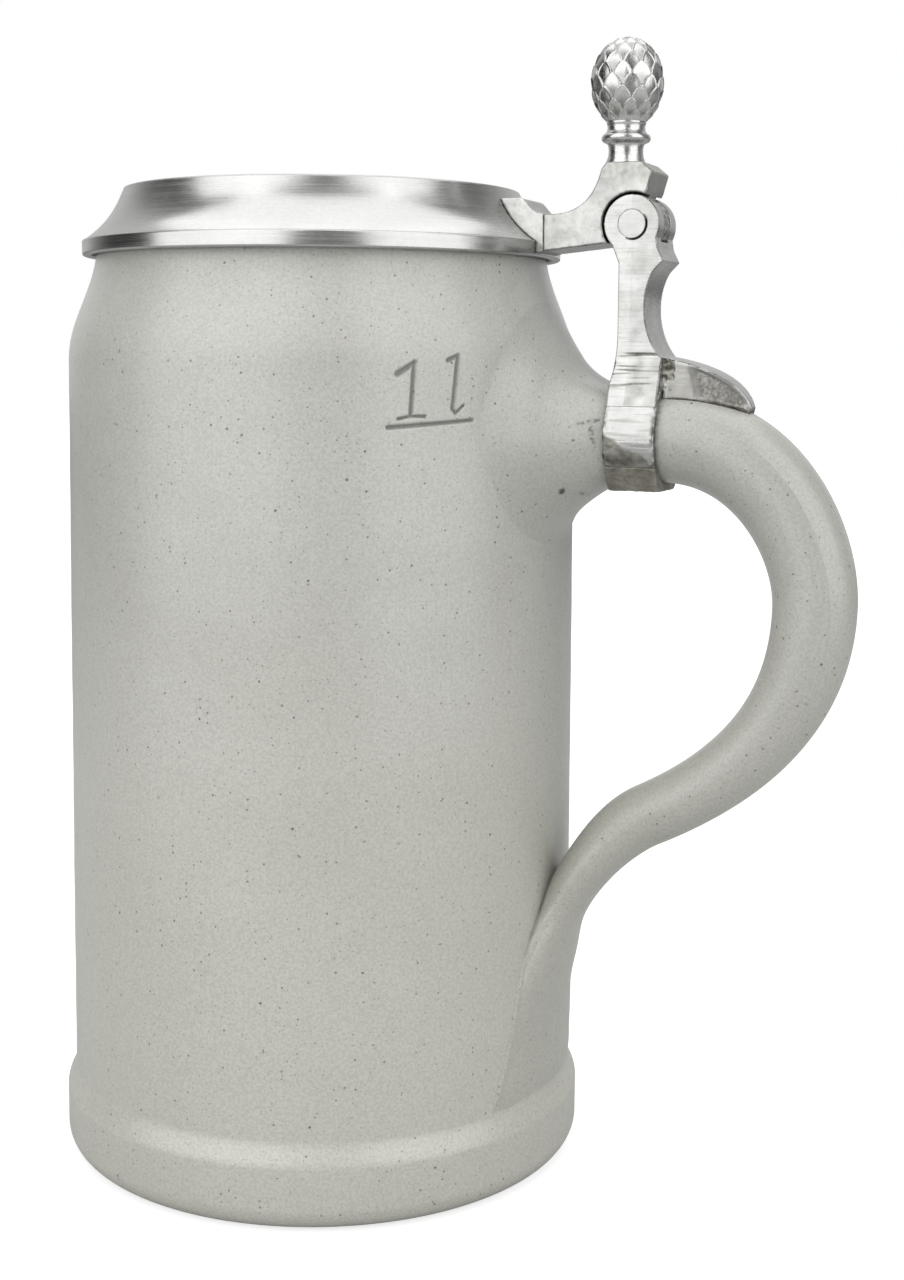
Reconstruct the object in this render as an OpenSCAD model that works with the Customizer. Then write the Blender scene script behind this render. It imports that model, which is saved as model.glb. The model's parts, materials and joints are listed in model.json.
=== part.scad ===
// Lidded beer stein: a stoneware litre mug with a pewter lid hinged to a strap on its handle.
// Millimetres, +Z up. The origin is the middle of the underside and the handle points along +X.

/* [Mug] */
// Height of the mug's rim
mug_height = 192; // [191:0.5:192]
// Outer radius of the body, 100 mm above the base
body_r = 53.5; // [53:0.1:54]
// Loss of radius for each millimetre of height
body_taper = 0.0092; // [0:0.0002:0.012]
// Wall thickness of the body
wall = 6.6; // [5.5:0.1:6.8]
// Thickness of the bottom
base_t = 13; // [9:0.5:14]
// Outer radius of the foot band
foot_r = 56.1; // [55.5:0.1:56.5]
// Height of the foot band, where it has faded into the body
foot_h = 18.8; // [18:0.2:20]
// Outer radius of the neck at the rim
neck_r = 46.7; // [46:0.1:46.9]
// Height at which the shoulder starts to draw in
shoulder_z = 169; // [167:0.5:172]
// Thickness of the rim
rim_t = 4.5; // [4:0.1:5.5]

/* [Handle] */
// Height of the handle's centre line where it leaves the body
root_z = 155.2; // [154.8:0.1:155.4]
// Radius of the handle at the strap's outer edge
handle_r = 9.1; // [8.8:0.1:9.3]
// Radius of the handle at the widest point of the bow
bow_r = 8.2; // [7.8:0.1:8.8]
// Radius of the handle where it turns down along the body
lower_r = 6.4; // [6:0.1:7]
// Distance of the bow's centre line from the mug's axis
bow_x = 106; // [104:0.5:108]

/* [Lid] */
// Outer radius of the lid's band
band_r = 49.7; // [49.5:0.1:50]
// Height of the lid's top face
lid_top = 204.2; // [203.6:0.1:204.6]
// Outer radius of the lid's flat top
lid_top_r = 41; // [40.6:0.1:41.4]
// Depth to which the band hangs below the rim's top
overlap = 1.7; // [1:0.1:2]

/* [Hinge] */
// Distance of the hinge pin from the mug's axis
pin_x = 69; // [68.8:0.1:69.2]
// Height of the hinge pin
pin_z = 196.2; // [196:0.1:196.4]
// Radius of the hinge pin
pin_r = 2.6; // [2.4:0.1:2.8]
// Radius of the round cheeks on the post
cheek_r = 5.6; // [5.4:0.1:5.7]
// Thickness of the post across both cheeks
post_w = 12; // [11.5:0.1:12.5]
// Thickness of the arm's middle leaf
leaf_w = 4.5; // [4:0.1:5]
// Gap between moving faces of the hinge
hinge_gap = 0.25; // [0.2:0.05:0.35]

/* [Thumb piece] */
// Height of the cone's tip
cone_top = 232.1; // [230:0.1:234]
// Greatest radius of the cone
cone_r = 7.25; // [6.5:0.05:7.5]
// Distance of the thumb piece's axis from the mug's axis
finial_x = 65.7; // [65.4:0.1:66]

/* [Hidden] */
$fn = 96;

// Stoneware
neck_z = mug_height - rim_t / 2;      // where the rim's round lip begins
ring_w = 8;                           // width of the foot ring that touches the table
ring_rise = 2;                        // height of the hollow inside the foot ring
foot_edge = 5.5;                      // rounding of the foot band's lower edge
foot_fade = 5.5;                      // height over which the foot band fades into the body
floor_round = 7;                      // rounding between floor and wall

// Handle: the strap sits on the short straight stretch between these two distances
strap_x0 = 65.4;
strap_x1 = 75.7;
strap_seat_r = 10;                    // handle radius at the strap's inner edge
root_x = 37;                          // start of the root, inside the wall
flare_x = 53;                         // where the root has spread by the amounts below
flare_height = 7.4;                   // growth of the root's upper half height
flare_depth = 9;                      // growth of its lower half height
flare_width = 9;                      // growth of the root's half width
flare_spread = 3.5;                   // further growth of the half width inside the wall
tall_power = 1.3;                     // how late the root's height grows towards the wall
wide_power = 1.4;                     // and its width
fillet_top = 9;                       // reach of the fillet between root and wall, upper side
fillet_low = 5;                       // and lower side
fillet_sink = 0.6;                    // depth below the wall at which the fillet ends
bow_z = 123;                          // height of the bow's furthest point
lower = [73.6, 78.4];                 // centre line where the handle straightens towards the body
lower_dir = [-cos(27), -sin(27)];     // its direction there
landing = [55.5, 57];                 // centre line where the handle reaches the body
landing_dir = [-0.44, -0.9];          // its direction there
tail_end_z = 17;                      // lower end of the smeared tail
tail_sink = 48.5;                     // centre line's distance from the axis at that end
landing_depth = 4.6;                  // half depth of the handle at the landing
tail_depth = 6;                       // half depth of the tail further down
tail_full = 0.35;                     // share of the tail's length over which it grows to that
tail_w0 = 9.2;                        // half width of the tail at the landing
tail_w1 = 23.7;                       // half width of the tail at its end
ring_sides = 28;                      // points round the handle

// Lid
skirt_gap = 1.1;                      // room between the neck and the skirt
seat_gap = 0.3;                       // room between the rim and the lid's seat
band_h = 3.1;                         // height of the lid's vertical band
lid_t = 2.2;                          // thickness of the lid's shell
cove_slope = 0.42;                    // straight part of the lid's cove
cove_curve = 0.0029;                  // curved part of the lid's cove
band_z = mug_height - overlap;        // lower edge of the band

// Hinge
seam_x = 50.9;                        // joint between the tang on the lid and the arm
block_top = 208;                      // top of the arm's block, under the thumb piece
pivot = [pin_x, pin_z];
strap_r = 10.8;                       // outer radius of the strap
strap_z = root_z;                     // height of the strap's centre
foot_y = 9.9;                         // half thickness of the post's foot where it meets the strap
foot_low_z = strap_z + 3.7;           // height of that line
foot_top_z = strap_z + 15.2;          // height at which the post has its own thickness
closure_z = 149.4;                    // height at which the strap's ends meet the closure
closure_flat = 6.6;                   // half width of the closure's flat underside
closure_bottom = 144.5;               // lower face of the closure
running = 0.06;                       // radial clearance of the pin in the arm

// ---- Curves ----
function bezier(p, t) = pow(1 - t, 3) * p[0] + 3 * pow(1 - t, 2) * t * p[1]
                      + 3 * (1 - t) * t * t * p[2] + pow(t, 3) * p[3];
function bezier_way(p, t) = pow(1 - t, 2) * (p[1] - p[0]) + 2 * (1 - t) * t * (p[2] - p[1])
                          + t * t * (p[3] - p[2]);
function unit(v) = v / norm(v);
function curve(p, steps) = [for (i = [0:steps]) bezier(p, i / steps)];
function arc(centre, r, from, to, steps) =
    [for (i = [0:steps]) let (a = from + (to - from) * i / steps) centre + r * [cos(a), sin(a)]];
// Smooth step from 0 to 1
function ease(t) = (1 - cos(180 * min(1, max(0, t)))) / 2;

// ---- Mug ----
function body_radius(z) = body_r - body_taper * (z - 100);
// Outer radius of the mug above its rounded lower edge
function mug_radius(z) =
    let (shaft = body_radius(z),
         foot = ease((foot_h - z) / foot_fade),
         neck = ease((z - shoulder_z) / (mug_height + 1 - shoulder_z)))
    shaft + (foot_r - shaft) * foot - (shaft - neck_r) * neck;

outer_side = concat(
    arc([foot_r - foot_edge, foot_edge], foot_edge, -90, 0, 8),
    [for (z = [foot_h - foot_fade : 1 : foot_h]) [mug_radius(z), z]],
    [for (z = [40 : 43 : shoulder_z - 1]) [mug_radius(z), z]],
    [for (i = [0:11]) let (z = shoulder_z + (neck_z - shoulder_z) * i / 11) [mug_radius(z), z]]);

inner_r = body_radius(100) - wall;
inner_side = concat(
    [for (i = [0:11]) let (z = neck_z - (neck_z - shoulder_z) * i / 11)
        [mug_radius(z) - wall - (rim_t - wall) * ease((z - shoulder_z) / (neck_z - shoulder_z)), z]],
    [[mug_radius(60) - wall, 60]],
    arc([inner_r - floor_round, base_t + floor_round], floor_round, 0, -90, 8));

module mug_solid() {
    rotate_extrude() polygon(concat([[0, 0]], outer_side, [[0, neck_z]]));
}

module mug_body() {
    lip = [mug_radius(neck_z) - rim_t / 2, neck_z];
    ring_r = foot_r - foot_edge - ring_w;
    color([0.70, 0.70, 0.66])
    rotate_extrude() polygon(concat(
        [[0, ring_rise], [ring_r - ring_rise, ring_rise], [ring_r, 0]],
        outer_side,
        arc(lip, rim_t / 2, 15, 165, 10),
        inner_side,
        [[0, base_t]]));
}

// ---- Handle ----
// A station is [centre, direction, half width, half depth, lower half depth where it differs]
function root_station(x) =
    let (u = max(0, (strap_x0 - x) / (strap_x0 - flare_x)),
         inner = max(0, u - 1),
         tall = pow(min(1, u), tall_power) + tall_power * inner,
         wide = flare_width * pow(min(1, u), wide_power)
              + flare_spread * (1 - exp(-wide_power * flare_width * inner / flare_spread)))
    [[x, root_z], [1, 0], strap_seat_r + wide, strap_seat_r + flare_height * tall,
     strap_seat_r + flare_depth * tall];
// Moves a point of the root so that the clay runs into the wall in a fillet
function fillet(p) =
    let (r = norm([p[0], p[1]]),
         skin = mug_radius(p[2]),
         d = r - skin,
         k = fillet_low + (fillet_top - fillet_low) * ease((p[2] - root_z) / 15 + 1),
         out = d > k ? d : d < -k ? -fillet_sink
             : pow(d + k, 2) / (4 * k) - fillet_sink * pow((k - d) / (2 * k), 2))
    [p[0] * (skin + out) / r, p[1] * (skin + out) / r, p[2]];

bow_upper = [[strap_x1, root_z], [95.6, root_z], [bow_x, bow_z + 12.8], [bow_x, bow_z]];
bow_lower = [[bow_x, bow_z], [bow_x, bow_z - 16.5], lower - 27.2 * lower_dir, lower];
run_in = [lower, lower + 8 * lower_dir, landing - 9 * landing_dir, landing];

function bow_station(p, t, r0, r1, w1) =
    [bezier(p, t), unit(bezier_way(p, t)), r0 + (w1 - r0) * ease(t), r0 + (r1 - r0) * ease(t)];

function tail_centre(s) = [tail_sink + (landing[0] - tail_sink) * pow(1 - s, 2.8),
                           landing[1] + (tail_end_z - landing[1]) * s];
function tail_station(s) =
    [tail_centre(s), unit(tail_centre(s + 0.001) - tail_centre(s)),
     tail_w0 + (tail_w1 - tail_w0) * pow(s, 0.65),
     landing_depth + (tail_depth - landing_depth) * ease(s / tail_full)];

stations = concat(
    [for (x = [root_x : 3 : strap_x0]) root_station(x)],
    [root_station(strap_x0)],
    [for (i = [0:9]) bow_station(bow_upper, i / 10, handle_r, bow_r, bow_r)],
    [for (i = [0:11]) bow_station(bow_lower, i / 12, bow_r, lower_r, lower_r)],
    [for (i = [0:6]) bow_station(run_in, i / 7, lower_r, landing_depth, tail_w0)],
    [for (i = [0:8]) tail_station(i / 8.1)]);

function station_ring(s) =
    [for (k = [0 : ring_sides - 1])
        let (a = 360 * k / ring_sides,
             depth = cos(a) < 0 && len(s) > 4 ? s[4] : s[3],
             p = [s[0][0] - depth * cos(a) * s[1][1], s[2] * sin(a), s[0][1] + depth * cos(a) * s[1][0]])
        len(s) > 4 ? fillet(p) : p];

module handle_sweep() {
    n = ring_sides;
    last = len(stations) - 1;
    points = [for (s = stations) each station_ring(s)];
    sides = [for (i = [0 : last - 1], k = [0 : n - 1])
        let (a = i * n + k, b = i * n + (k + 1) % n)
        each [[a, b, b + n], [a, b + n, a + n]]];
    ends = [[for (k = [n - 1 : -1 : 0]) k], [for (k = [0 : n - 1]) last * n + k]];
    polyhedron(points, concat(ends, sides));
}

module mug_handle() {
    color([0.70, 0.70, 0.66])
    difference() {
        handle_sweep();
        mug_solid();
    }
}

// ---- Side-view extrusion, centred on the handle's plane ----
module plate(width) {
    rotate([90, 0, 0]) linear_extrude(width, center = true) children();
}

// ---- Post and its tongue ----
module post_outline() {
    polygon(concat(
        [[strap_x0, 163]],
        curve([[strap_x0, 165.4], [65.8, 169], [66.6, 170], [66.6, 176]], 12),
        [[66.5, 188.8], [65.1, 192.2], [pin_x, pin_z], [74.0, 193.4]],
        [[74.3, 191.6], [75.5, 189.2], [73.7, 187.3]],
        curve([[73.7, 187.3], [71.2, 183.5], [71.0, 176], [75.2, 170.9]], 20),
        [[strap_x1, 170.8], [strap_x1, 163]]));
    translate(pivot) circle(cheek_r);
}

// The foot spreads sideways to meet the strap's outer face
module post_foot() {
    intersection() {
        plate(30) polygon([
            [strap_x0 + 0.1, 150],
            [strap_x1 - 0.1, 150],
            [strap_x1 - 0.1, foot_top_z + 1],
            [66.8, foot_top_z + 1],
            [strap_x0 + 0.1, foot_top_z - 5]]);
        rotate([90, 0, 90]) linear_extrude(100) polygon([
            [-foot_y, foot_low_z],
            [foot_y, foot_low_z],
            [post_w / 2 - 0.1, foot_top_z],
            [0.1 - post_w / 2, foot_top_z]]);
    }
}

module tongue_outline() {
    polygon(concat(
        [[75.2, 162], [75.2, 170.9]],
        curve([[75.2, 170.9], [83, 169.6], [90.5, 167], [92.8, 161.3]], 16),
        [[92.4, 160], [90.6, 157]]));
}

module tongue() {
    difference() {
        intersection() {
            plate(post_w) tongue_outline();
            // plan view: full width at the post, narrowing to a blunt tip
            linear_extrude(300) polygon(concat(
                [[75, post_w / 2 - 0.8]],
                curve([[76.5, post_w / 2 - 0.8], [84, post_w / 2 - 1], [91, 3.6], [93, 1.4]], 8),
                curve([[93, -1.4], [91, -3.6], [84, 1 - post_w / 2], [76.5, 0.8 - post_w / 2]], 8),
                [[75, 0.8 - post_w / 2]]));
        }
        handle_sweep();
    }
}

module hinge_post() {
    color([0.80, 0.80, 0.80])
    difference() {
        union() {
            plate(post_w) post_outline();
            post_foot();
            tongue();
        }
        // room for the arm's middle leaf
        translate([pin_x, 0, pin_z]) {
            rotate([90, 0, 0]) cylinder(r = cheek_r + 0.3, h = leaf_w + 2 * hinge_gap, center = true);
            translate([0, 0, 10]) cube([30, leaf_w + 2 * hinge_gap, 20], center = true);
            rotate([90, 0, 0]) cylinder(r = pin_r, h = post_w + 2, center = true);
        }
        strap_outside();
    }
}

// ---- Strap round the handle ----
module strap_outside() {
    translate([strap_x0, 0, strap_z]) rotate([0, 90, 0]) cylinder(r = strap_r, h = strap_x1 - strap_x0);
}

module handle_seat() {
    translate([strap_x0, 0, root_z]) rotate([0, 90, 0])
        cylinder(r1 = strap_seat_r, r2 = handle_r, h = strap_x1 - strap_x0);
}

module strap_band() {
    color([0.80, 0.80, 0.80])
    difference() {
        strap_outside();
        handle_seat();
        translate([0, -50, 0]) cube([200, 100, closure_z]);
    }
}

module strap_closure() {
    half_chord = sqrt(strap_r * strap_r - pow(strap_z - closure_z, 2));
    color([0.72, 0.72, 0.71])
    difference() {
        translate([strap_x0, 0, 0]) rotate([90, 0, 90]) linear_extrude(strap_x1 - strap_x0)
            polygon(concat([[-half_chord, closure_z]],
                curve([[-half_chord, closure_z], [1.5 - half_chord, 146.6], [-closure_flat, closure_bottom],
                       [1.6 - closure_flat, closure_bottom]], 6),
                curve([[closure_flat - 1.6, closure_bottom], [closure_flat, closure_bottom],
                       [half_chord - 1.5, 146.6], [half_chord, closure_z]], 6)));
        handle_seat();
    }
}

module hinge_pin() {
    color([0.84, 0.84, 0.84])
    translate([pin_x, 0, pin_z]) rotate([90, 0, 0]) cylinder(r = pin_r, h = post_w, center = true);
}

// ---- Lid ----
cove_h = lid_top - band_z - band_h;
cove_scale = (band_r - lid_top_r - 0.4) / (cove_slope * cove_h + cove_curve * pow(cove_h, 3));
function cove_radius(drop) = lid_top_r + cove_scale * (cove_slope * drop + cove_curve * pow(drop, 3));

lid_side = concat(
    [[band_r - 0.3, band_z], [band_r, band_z + 0.3], [band_r, band_z + band_h - 0.3],
     [band_r - 0.3, band_z + band_h]],
    [for (i = [12:-1:1]) [cove_radius(cove_h * i / 12), lid_top - cove_h * i / 12]],
    arc([lid_top_r - 0.6, lid_top - 0.6], 0.6, 0, 90, 4));

module lid_solid() {
    rotate_extrude() polygon(concat([[0, band_z]], lid_side, [[0, lid_top]]));
}

module lid() {
    skirt_r = neck_r + skirt_gap;
    seat_z = mug_height + seat_gap;
    under = lid_top - lid_t;
    color([0.78, 0.78, 0.77])
    rotate_extrude() polygon(concat(
        lid_side,
        [[lid_top_r - 4, lid_top], [lid_top_r - 4.5, lid_top - 0.5]],
        curve([[lid_top_r - 4.5, lid_top - 0.5], [26, lid_top], [12, lid_top + 0.7], [0, lid_top + 0.7]], 8),
        [[0, under], [lid_top_r - 3.5, under]],
        curve([[lid_top_r - 3.5, under], [lid_top_r - 1, under], [lid_top_r - 0.2, under - 3],
               [lid_top_r + 0.8, under - 5]], 5),
        [[lid_top_r + 2, seat_z + 1.5], [lid_top_r + 2.6, seat_z], [skirt_r, seat_z], [skirt_r, band_z]]));
}

// ---- Tang, arm and thumb piece ----
module lid_tang() {
    color([0.80, 0.80, 0.80])
    difference() {
        plate(post_w - 0.2) polygon(concat(
            [[40.5, band_z + 0.9], [40.5, 201.6], [46, 201.6]],
            curve([[46, 201.6], [47.6, 201.4], [48, 198.4], [seam_x, 198.4]], 6),
            [[seam_x, 191.2], [49.8, band_z + 0.6]]));
        lid_solid();
    }
}

module arm_outline() {
    polygon(concat(
        [[seam_x, 191.2], [seam_x, 198.4]],
        curve([[seam_x, 198.4], [57.5, 198], [61, 200.5], [62.6, 206.8]], 16),
        [[63.6, block_top], [70.6, block_top], [72.9, 206.1], [71.9, 202.5], [pin_x, pin_z],
         [64.2, 192.6]]));
}

module lid_arm() {
    color([0.80, 0.80, 0.80])
    difference() {
        union() {
            difference() {
                plate(post_w - 0.2) arm_outline();
                // round recess for the post's cheeks
                translate([pin_x, 0, pin_z]) rotate([90, 0, 0])
                    cylinder(r = cheek_r + 0.45, h = post_w + 2, center = true);
            }
            intersection() {
                plate(leaf_w) arm_outline();
                translate([pin_x, 0, pin_z]) rotate([90, 0, 0])
                    cylinder(r = cheek_r + 1, h = leaf_w, center = true);
            }
            translate([pin_x, 0, pin_z]) rotate([90, 0, 0])
                cylinder(r = cheek_r - 0.2, h = leaf_w, center = true);
        }
        translate([pin_x, 0, pin_z]) rotate([90, 0, 0])
            cylinder(r = pin_r + running, h = post_w + 2, center = true);
    }
}

cone_z = 223.4;                       // height of the cone's widest ring
cone_half = cone_top - cone_z;        // height from there to the tip

module thumb_cone() {
    color([0.86, 0.86, 0.86])
    translate([finial_x, 0, 0]) rotate_extrude() polygon(concat(
        [[0, block_top], [4, block_top], [3.7, 208.8]],
        curve([[3.7, 208.8], [3.3, 209.6], [3.3, 211], [3.6, 211.8]], 4),
        arc([4.1, 212.9], 0.95, -75, 75, 5),
        curve([[3.9, 214], [3.6, 214.6], [3.6, 215.2], [3.9, 215.8]], 4),
        [for (i = [1:18]) let (a = -58 + 148 * i / 18) [cone_r * cos(a), cone_z + cone_half * sin(a)]]));
}

mug_body();
mug_handle();
hinge_post();
strap_band();
strap_closure();
hinge_pin();
lid();
lid_tang();
lid_arm();
thumb_cone();
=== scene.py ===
"""Looks of a lidded beer stein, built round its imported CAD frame. Metres, +Z up, handle along +X."""
import json
import math

import bmesh
import bpy
import numpy as np
from mathutils import Matrix, Vector, noise
from mathutils.kdtree import KDTree


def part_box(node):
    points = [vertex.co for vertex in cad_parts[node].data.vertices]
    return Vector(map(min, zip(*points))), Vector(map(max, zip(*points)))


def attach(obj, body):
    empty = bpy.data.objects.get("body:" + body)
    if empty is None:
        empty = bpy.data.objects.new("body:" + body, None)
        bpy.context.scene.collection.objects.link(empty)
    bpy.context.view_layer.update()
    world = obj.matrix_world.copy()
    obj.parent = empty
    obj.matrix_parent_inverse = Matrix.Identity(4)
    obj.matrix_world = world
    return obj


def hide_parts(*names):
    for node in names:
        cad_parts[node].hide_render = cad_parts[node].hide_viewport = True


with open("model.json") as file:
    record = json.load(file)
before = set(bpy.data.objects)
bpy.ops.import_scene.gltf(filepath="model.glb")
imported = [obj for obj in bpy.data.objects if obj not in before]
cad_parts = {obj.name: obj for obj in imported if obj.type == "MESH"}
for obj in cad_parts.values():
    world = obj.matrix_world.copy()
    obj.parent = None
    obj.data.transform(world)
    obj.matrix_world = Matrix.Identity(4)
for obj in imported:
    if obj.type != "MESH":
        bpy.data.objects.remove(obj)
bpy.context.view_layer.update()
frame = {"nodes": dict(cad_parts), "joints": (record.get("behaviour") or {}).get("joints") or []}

MM = 0.001

# ---------------------------------------------------------------- sizes read from the frame
mug_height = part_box("mug_body")[1].z
band_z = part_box("lid")[0].z
seam_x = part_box("lid_arm")[0].x  # where the arm joins the tang
pin_lo, pin_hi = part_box("hinge_pin")
strap_lo, strap_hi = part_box("strap_band")
cone_lo, cone_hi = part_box("thumb_cone")
pin = Vector(frame["joints"][0]["pos_m"])
pin_r = (pin_hi.x - pin_lo.x) / 2
post_half = pin_hi.y

# ---------------------------------------------------------------- sizes under the CAD's own names
# mug
body_r = 53.5 * MM
body_taper, taper_z = 0.0092, 100 * MM  # the shaft's radius is body_r at taper_z
wall = 6.6 * MM
base_t = 13 * MM
foot_r = 56.1 * MM
foot_h = 18.8 * MM
foot_fade = 5.5 * MM
foot_edge = 5.5 * MM
neck_r = 46.7 * MM
shoulder_z = 169 * MM
rim_t = 4.5 * MM
neck_z = mug_height - rim_t / 2

# handle: root, bow and smeared tail, on a centre line in the XZ plane
root_x, root_z = 37 * MM, 155.2 * MM
strap_x0, strap_x1 = strap_lo.x, strap_hi.x
strap_seat_r, handle_r, bow_r, lower_r = 10 * MM, 9.1 * MM, 8.2 * MM, 6.4 * MM
flare_x = 53 * MM
flare_height, flare_depth, flare_width = 7.4 * MM, 9 * MM, 9 * MM
flare_spread = 3.5 * MM
tall_power, wide_power = 1.3, 1.4
fillet_low, fillet_top = 5 * MM, 9 * MM
bow = np.array([106, 123]) * MM
lower = np.array([73.6, 78.4]) * MM
lower_dir = -np.array([math.cos(math.radians(27)), math.sin(math.radians(27))])
landing = np.array([55.5, 57]) * MM
landing_dir = np.array([-0.44, -0.9])
tail_end = np.array([48.5, 17]) * MM
landing_depth, tail_depth, tail_full = 4.6 * MM, 6 * MM, 0.35
tail_w0, tail_w1 = 9.2 * MM, 23.7 * MM
bow_upper = [(strap_x1, root_z), (95.6 * MM, root_z), bow + (0, 12.8 * MM), bow]
bow_lower = [bow, bow - (0, 16.5 * MM), lower - 27.2 * MM * lower_dir, lower]
run_in = [lower, lower + 8 * MM * lower_dir, landing - 9 * MM * landing_dir, landing]

# lid
lid_top, lid_top_r = 204.2 * MM, 41 * MM
lid_t = 2.2 * MM
band_r, band_h = 49.7 * MM, 3.1 * MM
skirt_gap, seat_gap = 1.1 * MM, 0.3 * MM
cove_slope, cove_curve = 0.42, 0.0029 / MM ** 2
cove_h = lid_top - band_z - band_h


# ---------------------------------------------------------------- small maths
def ease(t):
    return (1 - np.cos(np.pi * np.clip(t, 0, 1))) / 2


def smooth(lo, hi, x):
    t = np.clip((x - lo) / (hi - lo), 0, 1)
    return t * t * (3 - 2 * t)


def within(x, a, b, c, d):
    """Rises from 0 to 1 between a and b, and falls back between c and d."""
    return smooth(a, b, x) * (1 - smooth(c, d, x))


def bezier(p, t):
    p = np.asarray(p, float)
    t = np.asarray(t, float)[..., None]
    s = 1 - t
    return s ** 3 * p[0] + 3 * s ** 2 * t * p[1] + 3 * s * t ** 2 * p[2] + t ** 3 * p[3]


def arc(centre, r, a0, a1, steps):
    a = np.radians(np.linspace(a0, a1, steps + 1))
    return np.stack([centre[0] + r * np.cos(a), centre[1] + r * np.sin(a)], -1)


def wobble(points, size, seed):
    """Smooth noise from -1 to 1 at each point; size is that of its features."""
    off = Vector((seed, seed * 1.7, seed * 0.6))
    return np.array([noise.noise(Vector(p) / size + off) for p in points])


def patches(points, size, seed, mean, gain):
    """Noise round a mean, cut to 0 to 1: it breaks dirt and wear up into patches."""
    return np.clip(mean + gain * wobble(points, size, seed), 0, 1)


# ---------------------------------------------------------------- mesh makers
def add_object(name, data):
    ob = bpy.data.objects.new(name, data)
    bpy.context.scene.collection.objects.link(ob)
    return ob


def shade_smooth(mesh):
    mesh.polygons.foreach_set("use_smooth", [True] * len(mesh.polygons))


def from_bmesh(name, bm):
    mesh = bpy.data.meshes.new(name)
    bm.to_mesh(mesh)
    bm.free()
    return add_object(name, mesh)


def new_object(name, verts, faces):
    mesh = bpy.data.meshes.new(name)
    mesh.from_pydata([tuple(v) for v in verts], [], faces)
    mesh.validate()
    shade_smooth(mesh)
    return add_object(name, mesh)


# a turned form's outline starts and ends this far from the axis; a small cap closes each end
NEAR_AXIS = 0.2 * MM


def grid_faces(rows, cols):
    """Quads over a grid whose columns close on themselves, with a cap on each end row."""
    faces = []
    for i in range(rows - 1):
        a, b = i * cols, (i + 1) * cols
        faces += [(a + k, a + (k + 1) % cols, b + (k + 1) % cols, b + k) for k in range(cols)]
    faces.append(tuple(range(cols - 1, -1, -1)))
    faces.append(tuple((rows - 1) * cols + k for k in range(cols)))
    return faces


def attribute(ob, name, values):
    """Stores one number for all vertices, or one for each, for the materials."""
    a = ob.data.attributes.new(name, "FLOAT", "POINT")
    a.data.foreach_set("value", np.zeros(len(a.data), np.float32) + np.asarray(values, np.float32))


def coords(ob):
    v = np.empty(len(ob.data.vertices) * 3)
    ob.data.vertices.foreach_get("co", v)
    return v.reshape(-1, 3)


def normals(ob):
    v = np.empty(len(ob.data.vertices) * 3)
    ob.data.vertex_normals.foreach_get("vector", v)
    return v.reshape(-1, 3)


def set_coords(ob, v):
    ob.data.vertices.foreach_set("co", np.asarray(v, float).ravel())
    ob.data.update()


def revolve(name, profile, segments):
    """A closed form turned about the Z axis; the profile runs from the axis out and back to it."""
    profile = np.asarray(profile, float)
    a = np.linspace(0, 2 * np.pi, segments, endpoint=False)
    v = np.stack([profile[:, :1] * np.cos(a), profile[:, :1] * np.sin(a),
                  np.repeat(profile[:, 1:], segments, 1)], -1)
    return new_object(name, v.reshape(-1, 3), grid_faces(len(profile), segments))


def densify(profile, step):
    """The same outline with points no further apart than step."""
    out = [profile[0]]
    for a, b in zip(profile[:-1], profile[1:]):
        a, b = np.asarray(a, float), np.asarray(b, float)
        n = max(1, int(math.ceil(np.linalg.norm(b - a) / step)))
        out += [a + (b - a) * k / n for k in range(1, n + 1)]
    return np.array(out)


def apply_modifiers(ob):
    dg = bpy.context.evaluated_depsgraph_get()
    mesh = bpy.data.meshes.new_from_object(ob.evaluated_get(dg))
    ob.modifiers.clear()
    ob.data = mesh
    shade_smooth(mesh)


def cast_copy(name, node, voxel, rounds):
    """A dense copy of a CAD node with its edges rounded, as a casting's are."""
    bm = bmesh.new()
    bm.from_mesh(frame["nodes"][node].data)
    bmesh.ops.remove_doubles(bm, verts=bm.verts, dist=1e-6)
    ob = from_bmesh(name, bm)
    mod = ob.modifiers.new("remesh", "REMESH")
    mod.mode = "VOXEL"
    mod.voxel_size = voxel
    mod.adaptivity = 0
    mod = ob.modifiers.new("soften", "SMOOTH")
    mod.factor = 0.5
    mod.iterations = rounds
    apply_modifiers(ob)
    return ob


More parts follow.
